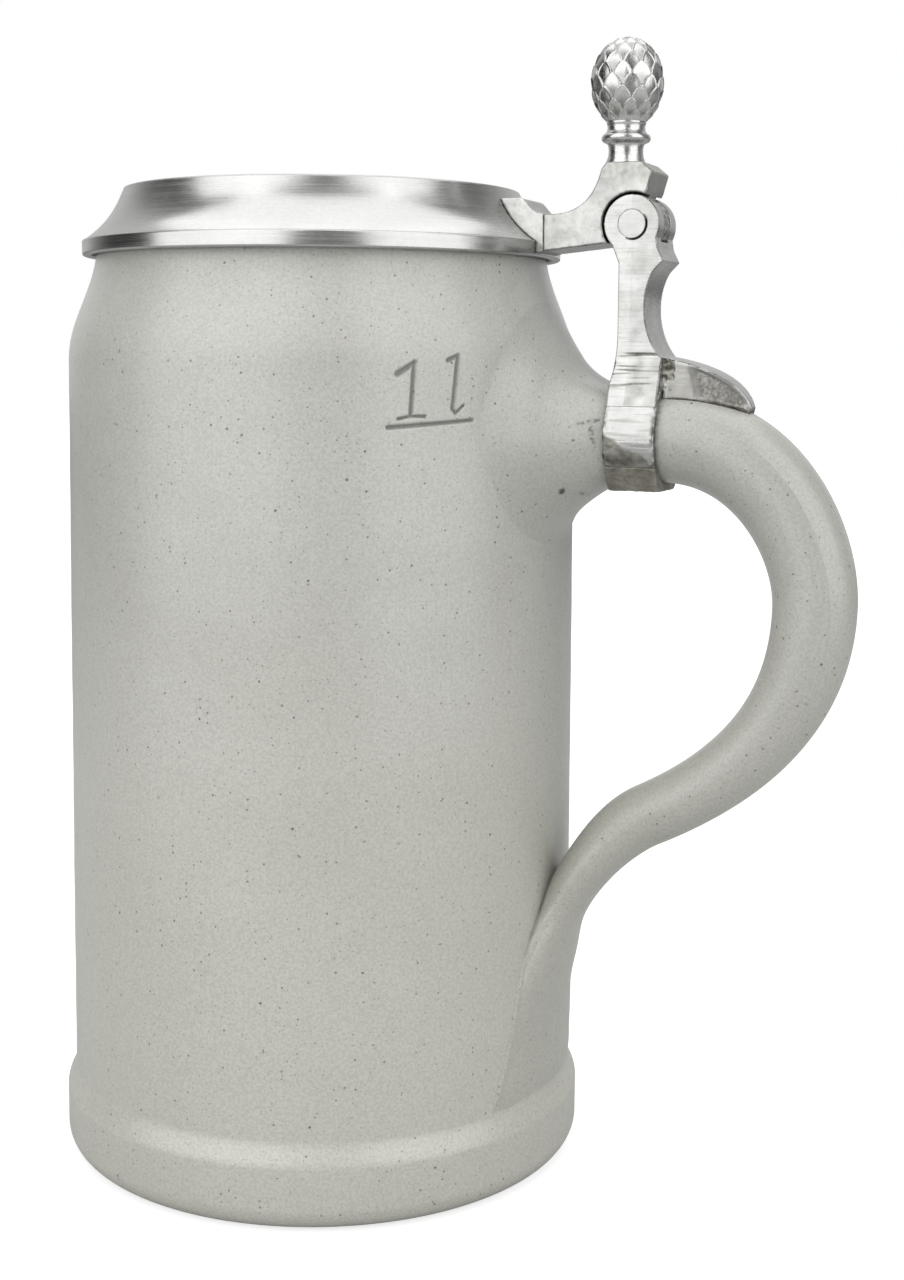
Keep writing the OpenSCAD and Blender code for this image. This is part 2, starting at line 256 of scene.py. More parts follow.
# ---------------------------------------------------------------- material helpers
class Nodes:
    """Short names for building the node tree of a material or of the world."""

    def __init__(self, owner, coordinate="Object"):
        owner.use_nodes = True
        self.owner = owner
        self.tree = owner.node_tree
        self.where = self.add("ShaderNodeTexCoord").outputs[coordinate]

    def add(self, kind, **props):
        n = self.tree.nodes.new(kind)
        for k, v in props.items():
            setattr(n, k, v)
        return n

    def put(self, socket, value):
        if isinstance(value, bpy.types.NodeSocket):
            self.tree.links.new(value, socket)
        else:
            socket.default_value = value

    def stretch(self, scale):
        n = self.add("ShaderNodeMapping")
        self.put(n.inputs["Vector"], self.where)
        n.inputs["Scale"].default_value = scale
        return n.outputs["Vector"]

    def noise(self, scale, detail=3.0, rough=0.5, source=None):
        n = self.add("ShaderNodeTexNoise")
        self.put(n.inputs["Vector"], source or self.where)
        n.inputs["Scale"].default_value = scale
        n.inputs["Detail"].default_value = detail
        n.inputs["Roughness"].default_value = rough
        return n.outputs["Fac"]

    def voronoi(self, scale):
        n = self.add("ShaderNodeTexVoronoi")
        self.put(n.inputs["Vector"], self.where)
        n.inputs["Scale"].default_value = scale
        return n.outputs["Distance"], n.outputs["Color"]

    def math(self, op, a, b=0.0, c=0.0):
        n = self.add("ShaderNodeMath", operation=op)
        for s, v in zip(n.inputs, (a, b, c)):
            self.put(s, v)
        return n.outputs[0]

    def span(self, value, lo, hi, out_lo=0.0, out_hi=1.0):
        n = self.add("ShaderNodeMapRange", interpolation_type="SMOOTHSTEP")
        self.put(n.inputs["Value"], value)
        for s, v in (("From Min", lo), ("From Max", hi), ("To Min", out_lo), ("To Max", out_hi)):
            self.put(n.inputs[s], v)
        return n.outputs["Result"]

    def mix(self, fac, a, b):
        n = self.add("ShaderNodeMix", data_type="RGBA")
        self.put(n.inputs[0], fac)
        self.put(n.inputs[6], a if isinstance(a, bpy.types.NodeSocket) else (*a, 1.0))
        self.put(n.inputs[7], b if isinstance(b, bpy.types.NodeSocket) else (*b, 1.0))
        return n.outputs[2]

    def attribute(self, name):
        return self.add("ShaderNodeAttribute", attribute_name=name).outputs["Fac"]

    def split(self, vector):
        n = self.add("ShaderNodeSeparateXYZ")
        self.put(n.inputs[0], vector)
        return n.outputs

    def join(self, x, y, z):
        n = self.add("ShaderNodeCombineXYZ")
        for s, v in zip(n.inputs, (x, y, z)):
            self.put(s, v)
        return n.outputs[0]

    def bump(self, height, distance, strength, normal=None):
        n = self.add("ShaderNodeBump")
        n.inputs["Distance"].default_value = distance
        n.inputs["Strength"].default_value = strength
        self.put(n.inputs["Height"], height)
        if normal is not None:
            self.put(n.inputs["Normal"], normal)
        return n.outputs["Normal"]

    def dot(self, vector, direction):
        n = self.add("ShaderNodeVectorMath", operation="DOT_PRODUCT")
        self.put(n.inputs[0], vector)
        n.inputs[1].default_value = direction
        return n.outputs["Value"]

    def length(self, vector):
        n = self.add("ShaderNodeVectorMath", operation="LENGTH")
        self.put(n.inputs[0], vector)
        return n.outputs["Value"]

    def camera_ray(self):
        return self.add("ShaderNodeLightPath").outputs["Is Camera Ray"]

    def finish(self, color, roughness, normal, metallic=0.0, **others):
        """Wires the material's shader up; others are its other inputs, with _ for a space."""
        bsdf = self.tree.nodes["Principled BSDF"]
        self.put(bsdf.inputs["Base Color"], color)
        self.put(bsdf.inputs["Roughness"], roughness)
        self.put(bsdf.inputs["Normal"], normal)
        self.put(bsdf.inputs["Metallic"], metallic)
        for name, v in others.items():
            self.put(bsdf.inputs[name.replace("_", " ")], v)
        return self.owner


def material(name):
    return Nodes(bpy.data.materials.new(name))


# ---------------------------------------------------------------- materials
# The vertex attribute "dark" says how dark a place is painted, for dirt and in places for painted shade,
# and "rough" how rough and dull its metal is.
DIRT_AND_SHADE = (0.040, 0.036, 0.028)
# iron specks: cells per metre, reach within a cell, share of empty cells, colour, strength
SPECKS = ((1400, 0.27, 0.25, (0.160, 0.145, 0.115), 0.60),
          (620, 0.19, 0.25, (0.120, 0.105, 0.080), 0.80),
          (330, 0.115, 0.40, (0.070, 0.055, 0.038), 0.90),
          (300, 0.100, 0.65, (0.200, 0.110, 0.050), 0.75))


def stoneware():
    """Pale grey clay under a thin, dull salt glaze, with iron specks of four kinds."""
    n = material("stoneware")
    clouds = n.span(n.noise(22, 3, 0.55), 0.35, 0.65)
    color = n.mix(clouds, (0.390, 0.392, 0.357), (0.432, 0.434, 0.403))
    height = n.split(n.where)[2]
    # towards the foot the clay turns yellower and lighter: the yellow is the clay's own, the lightness
    # is painted light against the shade near the floor
    color = n.mix(n.span(height, 0.16, 0.03, 0, 0.55), color, (0.482, 0.480, 0.410))
    mottle = n.noise(1500, 4, 0.7)
    color = n.mix(n.span(mottle, 0.35, 0.68, 0, 0.20), color, (0.540, 0.538, 0.510))
    streaks = n.noise(1.0, 3, 0.7, n.stretch((900, 900, 380)))
    color = n.mix(n.span(streaks, 0.62, 0.80, 0, 0.30), color, (0.230, 0.225, 0.195))
    dots = n.noise(1900, 2, 0.5)
    color = n.mix(n.span(dots, 0.60, 0.40, 0, 0.22), color, (0.200, 0.195, 0.170))
    for scale, reach, empty, tint, amount in SPECKS:
        distance, cell = n.voronoi(scale)
        pick = n.span(n.split(cell)[0], empty, 1.0)
        edge = n.math("DIVIDE", distance, n.math("MULTIPLY_ADD", pick, reach, 0.0001))
        color = n.mix(n.span(edge, 0.6, 1.0, amount, 0), color, tint)
    # darkens by the dark attribute: dirt, and painted shade in the mark's strokes and the handle's
    # pinhole, grooves and crease
    color = n.mix(n.attribute("dark"), color, DIRT_AND_SHADE)
    grain = n.noise(1900, 3, 0.6)
    orange_peel = n.noise(260, 2, 0.5)
    normal = n.bump(grain, 0.08 * MM, 0.6)
    normal = n.bump(orange_peel, 0.22 * MM, 0.35, normal)
    rough = n.span(n.noise(600, 3), 0.25, 0.75, 0.38, 0.50)
    return n.finish(color, rough, normal, IOR=1.55, Coat_Weight=0.75, Coat_Roughness=0.28, Coat_IOR=1.5)


def pewter_color(n, light, dark, scale):
    return n.mix(n.span(n.noise(scale, 4, 0.6), 0.3, 0.7), dark, light)


def turned_pewter():
    """Lathe-turned pewter: fine rings round the lid's axis."""
    n = material("turned_pewter")
    x, y, z = n.split(n.where)
    r = n.math("SQRT", n.math("ADD", n.math("MULTIPLY", x, x), n.math("MULTIPLY", y, y)))
    turn = n.math("MULTIPLY", n.math("ARCTAN2", y, x), 0.3 * MM)
    ring_space = n.join(r, turn, z)
    rings = n.noise(4200, 3, 0.65, ring_space)
    wide_rings = n.noise(900, 2, 0.5, ring_space)
    grime = n.noise(70, 4, 0.6)
    fine = n.noise(1800, 2, 0.5)
    color = pewter_color(n, (0.50, 0.50, 0.49), (0.45, 0.45, 0.44), 45)
    color = n.mix(n.span(fine, 0.35, 0.65, 0, 0.16), color, (0.36, 0.36, 0.35))
    rough = n.math("ADD", n.span(rings, 0.3, 0.7, 0.20, 0.28), n.span(grime, 0.4, 0.75, 0.0, 0.06))
    normal = n.bump(rings, 0.010 * MM, 0.7)
    normal = n.bump(wide_rings, 0.016 * MM, 0.5, normal)
    return n.finish(color, rough, normal, 1.0)


def cast_pewter(name, mark_scale, mark_depth, grain_depth, rough, light, dark):
    """Cast or filed pewter; the file marks run along the axis with the smallest scale."""
    n = material(name)
    marks = n.noise(1.0, 3, 0.7, n.stretch(mark_scale))
    grain = n.noise(1500, 4, 0.6)
    pits, _ = n.voronoi(700)
    blot = n.noise(230, 4, 0.6)
    tarnish = n.noise(420, 5, 0.7)
    color = pewter_color(n, light, dark, 160)
    color = n.mix(n.span(marks, 0.62, 0.74, 0, 0.35), color, (0.20, 0.20, 0.19))
    color = n.mix(n.span(tarnish, 0.56, 0.72, 0, 0.34), color, (0.24, 0.235, 0.21))
    color = n.mix(n.span(blot, 0.52, 0.70, 0, 0.13), color, (0.33, 0.325, 0.30))
    color = n.mix(n.math("MULTIPLY", n.attribute("rough"), 0.45), color, (0.36, 0.345, 0.27))
    # the dark attribute: dirt and tarnish, and in places painted shade in gaps and along edges
    stain_and_shade = n.math("MULTIPLY", n.attribute("dark"), n.math("MULTIPLY_ADD", tarnish, 1.4, 0.3))
    color = n.mix(n.math("MINIMUM", stain_and_shade, 0.95), color, (0.055, 0.050, 0.036))
    roughness = n.math("ADD", n.span(marks, 0.3, 0.7, *rough), n.span(blot, 0.45, 0.8, 0, 0.10))
    roughness = n.math("MULTIPLY_ADD", n.attribute("rough"), 0.28, roughness)
    normal = n.bump(marks, mark_depth, 0.7)
    normal = n.bump(grain, grain_depth, 0.6, normal)
    normal = n.bump(n.span(pits, 0.0, 0.12), 0.04 * MM, 0.4, normal)
    return n.finish(color, roughness, normal, 1.0)


MATERIALS = {
    "stoneware": stoneware(),
    "turned": turned_pewter(),
    "filed": cast_pewter("filed_pewter", mark_scale=(110, 700, 2100), mark_depth=0.06 * MM,
                         grain_depth=0.02 * MM, rough=(0.24, 0.34),
                         light=(0.49, 0.49, 0.48), dark=(0.41, 0.41, 0.40)),
    "cast": cast_pewter("cast_pewter", mark_scale=(900, 900, 900), mark_depth=0.03 * MM,
                        grain_depth=0.05 * MM, rough=(0.27, 0.40),
                        light=(0.50, 0.50, 0.487), dark=(0.40, 0.40, 0.39)),
    "solder": cast_pewter("soldered_pewter", mark_scale=(500, 500, 500), mark_depth=0.06 * MM,
                          grain_depth=0.12 * MM, rough=(0.38, 0.58),
                          light=(0.44, 0.43, 0.395), dark=(0.23, 0.22, 0.19)),
    "polished": cast_pewter("polished_pewter", mark_scale=(1300, 1300, 1300), mark_depth=0.04 * MM,
                            grain_depth=0.02 * MM, rough=(0.17, 0.28),
                            light=(0.60, 0.60, 0.59), dark=(0.50, 0.50, 0.49)),
}


def piece(ob, body, look, node):
    """Makes the object the visible form of a CAD node, riding on its body."""
    ob.data.materials.clear()
    ob.data.materials.append(MATERIALS[look])
    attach(ob, body)
    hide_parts(node)
    return ob


# ---------------------------------------------------------------- stoneware
def shaft_radius(z):
    return body_r - body_taper * (z - taper_z)


def mug_radius(z):
    """Outer radius of the mug at a height, from the foot band to the rim."""
    shaft = shaft_radius(z)
    foot = ease((foot_h - z) / foot_fade)
    neck = ease((z - shoulder_z) / (mug_height + MM - shoulder_z))
    return shaft + (foot_r - shaft) * foot - (shaft - neck_r) * neck


def clay_swell(x, y, z):
    """How far the clay strays from a true turned form: a little out of round, with faint wheel rings."""
    points = np.stack([x, y, z], -1)
    rings = np.sin(z / (2.3 * MM) + 2 * wobble(points, 50 * MM, 8.2))
    return 0.10 * MM * wobble(points, 45 * MM, 3.1) + 0.018 * MM * rings


# The capacity mark: strokes as (from, to, width at the start, width at the end), in millimetres along
# and up the wall from the middle of the line under the figure
MARK_AZIMUTH = math.radians(-41.3)
MARK_Z = 157.9 * MM
MARK_DEPTH = 0.6 * MM
MARK_STROKES = (
    ((-8.9, -0.6), (8.9, 0.7), 0.68, 0.50),
    ((-7.0, 9.3), (-3.6, 11.4), 0.98, 0.74),
    ((-3.7, 11.4), (-4.4, 1.6), 0.74, 0.70),
    ((-6.9, 1.0), (-4.5, 1.5), 0.46, 0.40),
    ((-4.5, 1.5), (-1.5, 1.45), 0.40, 0.46),
    ((3.4, 11.9), (5.6, 12.7), 0.66, 0.70),
    ((5.6, 12.5), (4.4, 2.9), 0.78, 0.70),
    ((4.4, 2.9), (5.0, 2.0), 0.56, 0.50),
    ((5.0, 2.0), (6.8, 3.5), 0.46, 0.36),
)
# the patch of fine mesh under the mark: half its width, its reach below and above MARK_Z, its step
PATCH_HALF, PATCH_BELOW, PATCH_ABOVE, PATCH_STEP = 11.5 * MM, 2 * MM, 14 * MM, 0.15 * MM


def mark_depth(s, t):
    """Depth from 0 to 1 of the stamped mark at distance s along and t up the wall, in metres."""
    best = np.zeros_like(s)
    for (x0, y0), (x1, y1), w0, w1 in MARK_STROKES:
        a, b = np.array([x0, y0]) * MM, np.array([x1, y1]) * MM
        d = b - a
        u = np.clip(((s - a[0]) * d[0] + (t - a[1]) * d[1]) / (d @ d), 0, 1)
        width = (w0 + (w1 - w0) * u) * MM
        off = np.hypot(s - a[0] - u * d[0], t - a[1] - u * d[1]) / width
        best = np.maximum(best, 1 - smooth(0.10, 1.0, off))
    return best


def past_mark(a):
    """The angle from the mark's middle round to a, from -pi to pi."""
    return (a - MARK_AZIMUTH + np.pi) % (2 * np.pi) - np.pi


def mug_outline():
    """The profile from the middle of the underside to that of the inside, and the outer wall's rows."""
    patch_lo, patch_hi = MARK_Z - PATCH_BELOW, MARK_Z + PATCH_ABOVE
    z = np.concatenate([np.arange(foot_h - foot_fade, foot_h + MM, 0.3 * MM),
                        np.arange(foot_h + 2 * MM, patch_lo, 1.2 * MM),
                        np.arange(patch_lo, patch_hi, PATCH_STEP),
                        np.arange(patch_hi, neck_z, 0.5 * MM), [neck_z]])
    hollow_h, ring_w, round_in, round_out = 2 * MM, 8 * MM, 1.2 * MM, 0.8 * MM
    ring_out = foot_r - foot_edge
    ring_in = ring_out - ring_w
    under = np.concatenate([
        [[NEAR_AXIS, hollow_h], [10 * MM, hollow_h]],
        arc((ring_in - round_out - round_in, round_out), round_in, 90, 0, 8),
        arc((ring_in, round_out), round_out, 180, 270, 6)])
    under = densify(under, 4 * MM)
    outside = np.concatenate([arc((ring_out, foot_edge), foot_edge, -90, 0, 16),
                              np.stack([mug_radius(z), z], -1)])
    lip = arc((mug_radius(neck_z) - rim_t / 2, neck_z), rim_t / 2, 8, 172, 24)
    z = np.linspace(neck_z, shoulder_z, 30)
    thinned = (rim_t - wall) * ease((z - shoulder_z) / (neck_z - shoulder_z))
    neck = np.stack([mug_radius(z) - wall - thinned, z], -1)
    z = np.linspace(shoulder_z - 4 * MM, 24 * MM, 40)
    shaft = np.stack([shaft_radius(z) - wall, z], -1)
    corner = 7 * MM
    floor = arc((body_r - wall - corner, base_t + corner), corner, 0, -90, 14)
    middle = [[20 * MM, base_t], [NEAR_AXIS, base_t]]
    profile = np.concatenate([under, outside, lip, neck, shaft, floor, middle])
    return profile, slice(len(under), len(under) + len(outside))


def stoneware_body():
    profile, skin = mug_outline()
    mark_r = shaft_radius(MARK_Z)
    a = np.radians(np.arange(0, 360, 1.5))
    half = PATCH_HALF / mark_r
    fine = np.arange(MARK_AZIMUTH - half, MARK_AZIMUTH + half, PATCH_STEP / mark_r)
    a = np.sort(np.concatenate([a[np.abs(past_mark(a)) > half], fine % (2 * np.pi)]))
    rows, cols = len(profile), len(a)
    r = np.repeat(profile[:, :1], cols, 1)
    z = np.repeat(profile[:, 1:], cols, 1)
    x, y = r * np.cos(a), r * np.sin(a)
    swell = clay_swell(x[skin].ravel(), y[skin].ravel(), z[skin].ravel()).reshape(-1, cols)
    swell *= within(z[skin], 2 * MM, 8 * MM, neck_z - 10 * MM, neck_z - 2 * MM)
    s, t = np.broadcast_to(past_mark(a) * mark_r, z[skin].shape), z[skin] - MARK_Z
    close = (np.abs(s) < PATCH_HALF) & (t > -PATCH_BELOW) & (t < PATCH_ABOVE)
    cut = np.zeros_like(s)
    cut[close] = mark_depth(s[close], t[close])
    new_r = np.minimum(r[skin] + swell - MARK_DEPTH * cut, foot_r)
    x[skin], y[skin] = new_r * np.cos(a), new_r * np.sin(a)
    ob = new_object("stoneware_mug", np.stack([x, y, z], -1).reshape(-1, 3), grid_faces(rows, cols))
    dark = np.zeros((rows, cols))
    # the stamped mark darker where it is cut deeper: dirt and painted shade in its strokes
    dark[skin] = 0.72 * cut ** 1.6
    attribute(ob, "dark", dark.ravel())
    return piece(ob, "mug", "stoneware", "mug_body")


def root_rings():
    """The root's centre line, half width, upper and lower half height, from inside the wall outwards."""
    x = np.concatenate([np.linspace(root_x, strap_x0, 92),
                        np.linspace(strap_x0, strap_x1, 14)[1:-1]])
    u = np.maximum((strap_x0 - x) / (strap_x0 - flare_x), 0)
    inner = np.maximum(u - 1, 0)
    u = np.minimum(u, 1)
    # under the strap the handle narrows evenly
    under_strap = np.clip((x - strap_x0) / (strap_x1 - strap_x0), 0, 1)
    seat = strap_seat_r + (handle_r - strap_seat_r) * under_strap
    rise = u ** tall_power + tall_power * inner
    spread = flare_spread * (1 - np.exp(-wide_power * flare_width * inner / flare_spread))
    wide = seat + flare_width * u ** wide_power + spread
    centre = np.stack([x, np.full_like(x, root_z)], -1)
    return centre, wide, seat + flare_height * rise, seat + flare_depth * rise


def bow_rings(curve, n, start, deep, wide):
    """The same along a curve, from a round of radius start to the given half depth and width."""
    t = np.arange(n) / n
    deep = start + (deep - start) * ease(t)
    return bezier(curve, t), start + (wide - start) * ease(t), deep, deep


def tail_rings(n):
    """The same down the tail, which sinks into the wall and spreads."""
    s = np.linspace(0, 1, n)
    centre = np.stack([tail_end[0] + (landing[0] - tail_end[0]) * (1 - s) ** 2.8,
                       landing[1] + (tail_end[1] - landing[1]) * s], -1)
    deep = landing_depth + (tail_depth - landing_depth) * ease(s / tail_full)
    return centre, tail_w0 + (tail_w1 - tail_w0) * s ** 0.65, deep, deep


def handle_rings():
    """The same for the whole sweep."""
    parts = [root_rings(),
             bow_rings(bow_upper, 70, handle_r, bow_r, bow_r),
             bow_rings(bow_lower, 80, bow_r, lower_r, lower_r),
             bow_rings(run_in, 50, lower_r, landing_depth, tail_w0),
             tail_rings(90)]
    centre, *widths = (np.concatenate(columns) for columns in zip(*parts))
    # the bow's widths run evenly into the tail's
    after = len(parts[0][0]) + 20
    kernel = np.hanning(27) / np.hanning(27).sum()
    for w in widths:
        w[after:-14] = np.convolve(w, kernel, "same")[after:-14]
    return centre, *widths


# above this height the handle meets the wall as its root, below it as its tail
ROOT_LOW_Z = 110 * MM
# smears of grey by the strap and one below the root, as (from, to) in millimetres along X and up Z
SMEARS = (((60.9, 157.6), (64.2, 158.6)), ((63.0, 157.4), (63.6, 153.0)), ((60.0, 143.8), (60.6, 143.6)))
PINHOLE_X, PINHOLE_Z = 57.2 * MM, 144.5 * MM
# degrees from the handle's outer line round to the groove on each side of the bow
GROOVE_ANGLE = 60


def run_into_wall(x, y, z):
    """Moves the sweep's points so that the clay runs into the wall in a fillet, soft at the root and
    crisp at the tail; also gives each point's distance from the wall before that."""
    r = np.hypot(x, y)
    skin = mug_radius(z)
    d = r - skin
    reach = fillet_low + (fillet_top - fillet_low) * ease((z - root_z) / (15 * MM) + 1)
    reach = np.where(z > ROOT_LOW_Z, reach, 0.5 * MM)
    out = np.where(d > reach, d, np.where(d < -reach, 0, (d + reach) ** 2 / (4 * reach)))
    # the smeared tail gets thinner downwards and ends in a thin raised lip
    share = (0.3 + 0.7 * smooth(28 * MM, 48 * MM, z)) * smooth(17 * MM, 23 * MM, z)
    hidden = np.maximum(smooth(0.6, 1.0, -d / reach), 1 - smooth(17 * MM, 20 * MM, z))
    out = out * np.where(z > ROOT_LOW_Z, 1, share) - 0.06 * MM * hidden
    lip = smooth(-0.12 * MM, 0.05 * MM, d) * (1 - 0.85 * smooth(0.10 * MM, 0.75 * MM, d))
    out += 0.50 * MM * lip * within(z, 18 * MM, 23 * MM, 56 * MM, 72 * MM)
    near = d < 12 * MM
    new_r = skin + out
    return np.where(near, x * new_r / r, x), np.where(near, y * new_r / r, y), d


def smeared(v):
    """From 0 to 1, how much grey is smeared on the near side."""
    smear = np.zeros(len(v))
    for p0, p1 in SMEARS:
        p0, p1 = np.array(p0) * MM, np.array(p1) * MM
        stroke = p1 - p0
        q = v[:, [0, 2]] - p0
        t = np.clip(q @ stroke / (stroke @ stroke), 0, 1)
        off = np.linalg.norm(q - t[:, None] * stroke, axis=1)
        smear = np.maximum(smear, 1 - smooth(0.1 * MM, 0.7 * MM, off))
    return smear * patches(v, 0.5 * MM, 4.4, 0.5, 1.2) * (v[:, 1] < 0)


def stoneware_handle():
    centre, wide, tall, low = handle_rings()
    way = np.gradient(centre, axis=0)
    way /= np.linalg.norm(way, axis=1)[:, None]
    up = np.stack([-way[:, 1], way[:, 0]], -1)
    rows, sides = len(centre), 300
    a = np.radians(np.arange(sides) * 360 / sides)
    height = np.where(np.cos(a) < 0, low[:, None], tall[:, None]) * np.cos(a)
    x = centre[:, :1] + height * up[:, :1]
    y = wide[:, None] * np.sin(a) + 0 * x
    z = centre[:, 1:] + height * up[:, 1:]
    x, y, from_wall = run_into_wall(x, y, z)
    ob = new_object("stoneware_handle", np.stack([x, y, z], -1).reshape(-1, 3), grid_faces(rows, sides))

    # hand-drawn clay: long shallow facets, and a fine groove along each side of the bow
    v, n = coords(ob), normals(ob)
    steps = np.linalg.norm(np.diff(centre, axis=0), axis=1)
    run = np.repeat(np.concatenate([[0], np.cumsum(steps)]), sides)
    turn = np.tile(a, rows)
    near_wall = smooth(2 * MM, 8 * MM, np.hypot(v[:, 0], v[:, 1]) - mug_radius(v[:, 2]))
    free = smooth(strap_x1 + MM, strap_x1 + 8 * MM, v[:, 0]) * smooth(84 * MM, 96 * MM, v[:, 2])
    free *= near_wall
    rounds = np.stack([np.cos(turn), np.sin(turn), run / (60 * MM)], -1)
    facets = 0.09 * MM * wobble(rounds, 0.45, 6.3)
    on_bow = within(run, 50 * MM, 62 * MM, 92 * MM, 104 * MM) * free
    across = np.degrees(np.arccos(np.cos(turn))) - GROOVE_ANGLE
    line = np.exp(-(across / 1.7) ** 2)
    groove = -0.18 * MM * line + 0.10 * MM * np.exp(-((across - 9) / 5) ** 2)
    # one small pinhole low on the root
    spot = np.argmin(np.hypot(v[:, 0] - PINHOLE_X, v[:, 2] - PINHOLE_Z) + (v[:, 1] > 0))
    hole = 1 - smooth(0.55 * MM, 0.90 * MM, np.linalg.norm(v - v[spot], axis=1))
    set_coords(ob, v + n * (facets * free + groove * on_bow - 0.45 * MM * hole)[:, None])

    # dirt in the joint along the strap's edges, and painted shade in the crease where the tail's lip
    # meets the wall
    edge = np.minimum(np.abs(v[:, 0] - strap_x0), np.abs(v[:, 0] - strap_x1))
    joint = (1 - smooth(0.1 * MM, 0.9 * MM, edge)) * (np.abs(v[:, 2] - root_z) < 13 * MM)
    joint *= patches(v, 0.8 * MM, 2.2, 0.55, 0.6)
    from_wall = from_wall.ravel()
    crease = smooth(0.30 * MM, 0.02 * MM, from_wall) * smooth(-0.45 * MM, -0.1 * MM, from_wall)
    crease *= within(v[:, 2], 46 * MM, 60 * MM, 84 * MM, 92 * MM) * patches(v, 4 * MM, 5.7, 0.45, 0.6)
    # painted shade in the pinhole and the bow's grooves; the whole handle a little darker, partly its
    # own dirtier tone and partly painted shade set against the lights
    everywhere = np.full(len(v), 0.13)
    attribute(ob, "dark", np.maximum.reduce([2 * hole, 0.95 * smeared(v), 0.7 * joint, 0.8 * crease,
                                             0.20 * line * on_bow, everywhere]).clip(0, 1))
    return piece(ob, "mug", "stoneware", "mug_handle")


# ---------------------------------------------------------------- pewter
def cove_rise(drop):
    return cove_slope * drop + cove_curve * drop ** 3


def cove_radius(drop):
    """Radius of the lid's hollow side at a distance below its top."""
    return lid_top_r + (band_r - lid_top_r - 0.4 * MM) * cove_rise(drop) / cove_rise(cove_h)


def pewter_lid():
    """The CAD's lid with its edges rounded and fine turned beads."""
    drop = np.linspace(1, 0, 60)[:-1] * cove_h
    seat_z, skirt_r, inner_z = mug_height + seat_gap, neck_r + skirt_gap, lid_top - lid_t
    low_round, high_round, top_round = 0.45 * MM, 0.35 * MM, 0.6 * MM
    bead_r, dome_h = lid_top_r - 4.5 * MM, 0.7 * MM
    profile = np.concatenate([
        [[NEAR_AXIS, inner_z]],
        bezier([(lid_top_r - 3.5 * MM, inner_z), (lid_top_r - MM, inner_z),
                (lid_top_r - 0.2 * MM, inner_z - 3 * MM), (lid_top_r + 0.8 * MM, inner_z - 5 * MM)],
               np.linspace(0, 1, 16)),
        [[lid_top_r + 2 * MM, seat_z + 1.5 * MM], [lid_top_r + 2.6 * MM, seat_z], [skirt_r, seat_z],
         [skirt_r, band_z + 0.2 * MM], [skirt_r + 0.2 * MM, band_z]],
        arc((band_r - low_round, band_z + low_round), low_round, -90, 0, 8),
        arc((band_r - high_round, band_z + band_h - high_round), high_round, 0, 90, 8),
        np.stack([cove_radius(drop), lid_top - drop], -1),
        arc((lid_top_r - top_round, lid_top - top_round), top_round, 0, 90, 8),
        [[bead_r + 0.5 * MM, lid_top], [bead_r + 0.25 * MM, lid_top - 0.12 * MM]],
        bezier([(bead_r, lid_top - 0.5 * MM), (26 * MM, lid_top), (12 * MM, lid_top + dome_h),
                (NEAR_AXIS, lid_top + dome_h)], np.linspace(0, 1, 40))])
    ob = revolve("pewter_lid", densify(profile, 1.2 * MM), 360)
    return piece(ob, "lid", "turned", "lid")


def file_lines(v, size, seed):
    """Noise drawn out along X, as the lines left by filing across a piece."""
    return wobble(v * np.array([0.07, 0.35, 1.0]), size, seed)


def inside_flats(v, flat, lo, hi):
    """From 0 at the borders of the flat faces to 1 inside them, between distances lo and hi."""
    tree = KDTree(int((~flat).sum()))
    for i, k in enumerate(np.flatnonzero(~flat)):
        tree.insert(Vector(v[k]), i)
    tree.balance()
    inside = np.zeros(len(v))
    for k in np.flatnonzero(flat):
        inside[k] = tree.find(Vector(v[k]))[2]
    return smooth(lo, hi, inside)


def roughen(ob, depth, size, seed):
    """Moves the surface in and out along its normals, as a sand or slate mould leaves it."""
    v = coords(ob)
    h = depth * (0.65 * wobble(v, size, seed) + 0.35 * wobble(v, size * 0.4, seed + 5))
    set_coords(ob, v + normals(ob) * h[:, None])


def shaded_edges(v, n):
    """Painted shade: a dark line along a rounded edge, broken up; its normals point between sideways and
    along.
    """
    edge = np.exp(-((np.abs(n[:, 1]) - 0.72) / 0.20) ** 2)
    return 1.25 * edge * patches(v, 2.5 * MM, 6.1, 0.6, 1)


def weather_and_shade(ob, dark, rough):
    """Stores what cast_pewter reads: dirt, wear and painted shade as dark, dull metal as rough."""
    attribute(ob, "dark", dark)
    attribute(ob, "rough", rough)


